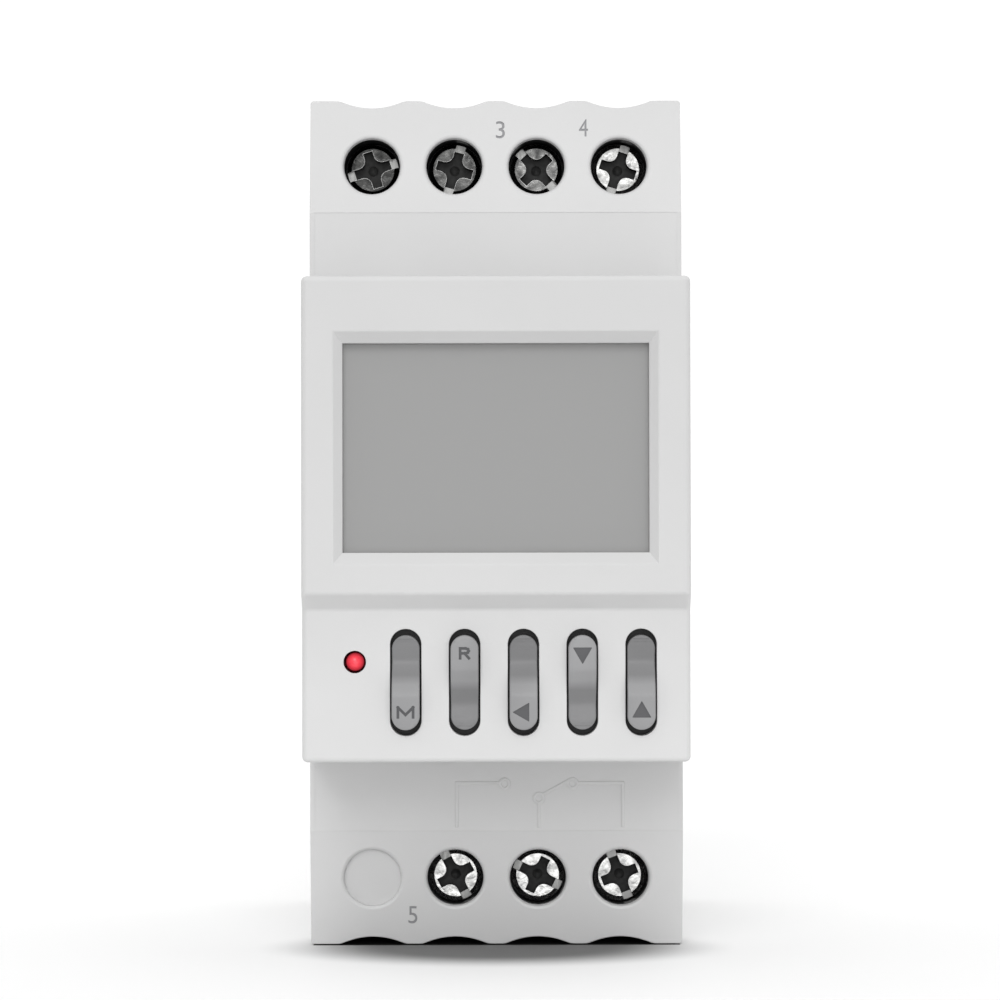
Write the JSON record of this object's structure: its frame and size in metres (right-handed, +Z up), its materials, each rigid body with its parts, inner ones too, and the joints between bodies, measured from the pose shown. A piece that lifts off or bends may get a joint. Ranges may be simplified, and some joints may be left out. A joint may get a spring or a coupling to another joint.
{
  "type": "din rail timer",
  "caption": "Two-module digital time switch for a 35 mm DIN rail, with display, lever keys, rising-cage screw terminals and a sprung rail latch.",
  "frame": {"origin": "middle of the flat face that seats on the rail, on the rail's centreline", "axes": "+Z up, +Y from the display towards the rail, +X to the right seen from the front"},
  "size_m": [0.036, 0.066, 0.082],
  "materials": {
    "housing": "fine eroded texture, light grey, flame-retardant polyamide",
    "window": "clear glossy polycarbonate",
    "display": "reflective grey liquid-crystal cell",
    "frame": "white moulded plastic",
    "conductive_rubber": "striped elastomer",
    "circuit_board": "green solder mask on glass epoxy",
    "chip": "black moulding compound",
    "plated_steel": "nickel plated",
    "screw_steel": "zinc plated, slightly dull",
    "terminal_brass": "bright stamped strip",
    "led": "red diffused epoxy",
    "key_plastic": "satin mid grey",
    "switch_plastic": "black",
    "stem_plastic": "ivory",
    "relay_case": "blue moulded case",
    "capacitor_case": "yellow box case",
    "capacitor_sleeve": "shrunk black sleeve",
    "varistor_coat": "dipped epoxy",
    "latch_plastic": "black glass-filled polyamide",
    "spring_steel": "bright drawn wire"
  },
  "bodies": {
    "housing": {"main_housing": "housing", "front_cover": "housing", "rear_base": "housing", "display_window": "window", "display_glass": "display", "display_frame": "frame", "contact_strip_upper": "conductive_rubber", "contact_strip_lower": "conductive_rubber", "display_board": "circuit_board", "controller_chip": "chip", "quartz_crystal": "plated_steel", "cell_holder": "chip", "backup_cell": "plated_steel", "status_led": "led", "board_link": "chip", "power_board": "circuit_board", "relay": "relay_case", "film_capacitor": "capacitor_case", "smoothing_capacitor": "capacitor_sleeve", "varistor": "varistor_coat", "latch_spring": "spring_steel", "switch_body_mode": "switch_plastic", "switch_body_reset": "switch_plastic", "switch_body_left": "switch_plastic", "switch_body_down": "switch_plastic", "switch_body_up": "switch_plastic", "busbar_upper_1": "terminal_brass", "busbar_upper_2": "terminal_brass", "busbar_upper_3": "terminal_brass", "busbar_upper_4": "terminal_brass", "busbar_lower_1": "terminal_brass", "busbar_lower_2": "terminal_brass", "busbar_lower_3": "terminal_brass"},
    "key_mode": {"key_mode": "key_plastic"},
    "stem_mode": {"switch_stem_mode": "stem_plastic"},
    "key_reset": {"key_reset": "key_plastic"},
    "stem_reset": {"switch_stem_reset": "stem_plastic"},
    "key_left": {"key_left": "key_plastic"},
    "stem_left": {"switch_stem_left": "stem_plastic"},
    "key_down": {"key_down": "key_plastic"},
    "stem_down": {"switch_stem_down": "stem_plastic"},
    "key_up": {"key_up": "key_plastic"},
    "stem_up": {"switch_stem_up": "stem_plastic"},
    "screw_upper_1": {"terminal_screw_upper_1": "screw_steel"},
    "cage_upper_1": {"terminal_cage_upper_1": "plated_steel"},
    "screw_upper_2": {"terminal_screw_upper_2": "screw_steel"},
    "cage_upper_2": {"terminal_cage_upper_2": "plated_steel"},
    "screw_upper_3": {"terminal_screw_upper_3": "screw_steel"},
    "cage_upper_3": {"terminal_cage_upper_3": "plated_steel"},
    "screw_upper_4": {"terminal_screw_upper_4": "screw_steel"},
    "cage_upper_4": {"terminal_cage_upper_4": "plated_steel"},
    "screw_lower_1": {"terminal_screw_lower_1": "screw_steel"},
    "cage_lower_1": {"terminal_cage_lower_1": "plated_steel"},
    "screw_lower_2": {"terminal_screw_lower_2": "screw_steel"},
    "cage_lower_2": {"terminal_cage_lower_2": "plated_steel"},
    "screw_lower_3": {"terminal_screw_lower_3": "screw_steel"},
    "cage_lower_3": {"terminal_cage_lower_3": "plated_steel"},
    "latch": {"rail_latch": "latch_plastic"}
  },
  "joints": [
    {"name": "stem_mode_slide", "type": "slide", "parent": "housing", "child": "stem_mode", "axis": [0, 1, 0], "range_m": [0, 0.00044], "stiffness_N_per_m": 2000, "springref_m": -0.0002},
    {"name": "key_mode_press", "type": "hinge", "parent": "housing", "child": "key_mode", "pos_m": [-0.00838, -0.0562, -0.0105], "axis": [1, 0, 0], "range_deg": [0, 3.6]},
    {"name": "stem_reset_slide", "type": "slide", "parent": "housing", "child": "stem_reset", "axis": [0, 1, 0], "range_m": [0, 0.00044], "stiffness_N_per_m": 2000, "springref_m": -0.0002},
    {"name": "key_reset_press", "type": "hinge", "parent": "housing", "child": "key_reset", "pos_m": [-0.00293, -0.0562, -0.0197], "axis": [-1, 0, 0], "range_deg": [0, 3.6]},
    {"name": "stem_left_slide", "type": "slide", "parent": "housing", "child": "stem_left", "axis": [0, 1, 0], "range_m": [0, 0.00044], "stiffness_N_per_m": 2000, "springref_m": -0.0002},
    {"name": "key_left_press", "type": "hinge", "parent": "housing", "child": "key_left", "pos_m": [0.00252, -0.0562, -0.0105], "axis": [1, 0, 0], "range_deg": [0, 3.6]},
    {"name": "stem_down_slide", "type": "slide", "parent": "housing", "child": "stem_down", "axis": [0, 1, 0], "range_m": [0, 0.00044], "stiffness_N_per_m": 2000, "springref_m": -0.0002},
    {"name": "key_down_press", "type": "hinge", "parent": "housing", "child": "key_down", "pos_m": [0.00797, -0.0562, -0.0197], "axis": [-1, 0, 0], "range_deg": [0, 3.6]},
    {"name": "stem_up_slide", "type": "slide", "parent": "housing", "child": "stem_up", "axis": [0, 1, 0], "range_m": [0, 0.00044], "stiffness_N_per_m": 2000, "springref_m": -0.0002},
    {"name": "key_up_press", "type": "hinge", "parent": "housing", "child": "key_up", "pos_m": [0.01342, -0.0562, -0.0105], "axis": [1, 0, 0], "range_deg": [0, 3.6]},
    {"name": "cage_upper_1_rise", "type": "slide", "parent": "housing", "child": "cage_upper_1", "axis": [0, -1, 0], "range_m": [0, 0.0042]},
    {"name": "screw_upper_1_turn", "type": "hinge", "parent": "housing", "child": "screw_upper_1", "pos_m": [-0.012, -0.0385, 0.0345], "axis": [0, 1, 0], "range_deg": [0, 2520]},
    {"name": "cage_upper_2_rise", "type": "slide", "parent": "housing", "child": "cage_upper_2", "axis": [0, -1, 0], "range_m": [0, 0.0042]},
    {"name": "screw_upper_2_turn", "type": "hinge", "parent": "housing", "child": "screw_upper_2", "pos_m": [-0.004, -0.0385, 0.0345], "axis": [0, 1, 0], "range_deg": [0, 2520]},
    {"name": "cage_upper_3_rise", "type": "slide", "parent": "housing", "child": "cage_upper_3", "axis": [0, -1, 0], "range_m": [0, 0.0042]},
    {"name": "screw_upper_3_turn", "type": "hinge", "parent": "housing", "child": "screw_upper_3", "pos_m": [0.004, -0.0385, 0.0345], "axis": [0, 1, 0], "range_deg": [0, 2520]},
    {"name": "cage_upper_4_rise", "type": "slide", "parent": "housing", "child": "cage_upper_4", "axis": [0, -1, 0], "range_m": [0, 0.0042]},
    {"name": "screw_upper_4_turn", "type": "hinge", "parent": "housing", "child": "screw_upper_4", "pos_m": [0.012, -0.0385, 0.0345], "axis": [0, 1, 0], "range_deg": [0, 2520]},
    {"name": "cage_lower_1_rise", "type": "slide", "parent": "housing", "child": "cage_lower_1", "axis": [0, -1, 0], "range_m": [0, 0.0042]},
    {"name": "screw_lower_1_turn", "type": "hinge", "parent": "housing", "child": "screw_lower_1", "pos_m": [-0.004, -0.0385, -0.0345], "axis": [0, 1, 0], "range_deg": [0, 2520]},
    {"name": "cage_lower_2_rise", "type": "slide", "parent": "housing", "child": "cage_lower_2", "axis": [0, -1, 0], "range_m": [0, 0.0042]},
    {"name": "screw_lower_2_turn", "type": "hinge", "parent": "housing", "child": "screw_lower_2", "pos_m": [0.004, -0.0385, -0.0345], "axis": [0, 1, 0], "range_deg": [0, 2520]},
    {"name": "cage_lower_3_rise", "type": "slide", "parent": "housing", "child": "cage_lower_3", "axis": [0, -1, 0], "range_m": [0, 0.0042]},
    {"name": "screw_lower_3_turn", "type": "hinge", "parent": "housing", "child": "screw_lower_3", "pos_m": [0.012, -0.0385, -0.0345], "axis": [0, 1, 0], "range_deg": [0, 2520]},
    {"name": "latch_slide", "type": "slide", "parent": "housing", "child": "latch", "axis": [0, 0, -1], "range_m": [0, 0.0045], "stiffness_N_per_m": 600, "springref_m": -0.003, "deforming": ["latch_spring"]}
  ],
  "couplings": [
    {"joint": "key_mode_press", "follows": "stem_mode_slide", "rad_per_m": 142},
    {"joint": "key_reset_press", "follows": "stem_reset_slide", "rad_per_m": 142},
    {"joint": "key_left_press", "follows": "stem_left_slide", "rad_per_m": 142},
    {"joint": "key_down_press", "follows": "stem_down_slide", "rad_per_m": 142},
    {"joint": "key_up_press", "follows": "stem_up_slide", "rad_per_m": 142},
    {"joint": "screw_upper_1_turn", "follows": "cage_upper_1_rise", "rad_per_m": 10472},
    {"joint": "screw_upper_2_turn", "follows": "cage_upper_2_rise", "rad_per_m": 10472},
    {"joint": "screw_upper_3_turn", "follows": "cage_upper_3_rise", "rad_per_m": 10472},
    {"joint": "screw_upper_4_turn", "follows": "cage_upper_4_rise", "rad_per_m": 10472},
    {"joint": "screw_lower_1_turn", "follows": "cage_lower_1_rise", "rad_per_m": 10472},
    {"joint": "screw_lower_2_turn", "follows": "cage_lower_2_rise", "rad_per_m": 10472},
    {"joint": "screw_lower_3_turn", "follows": "cage_lower_3_rise", "rad_per_m": 10472}
  ]
}
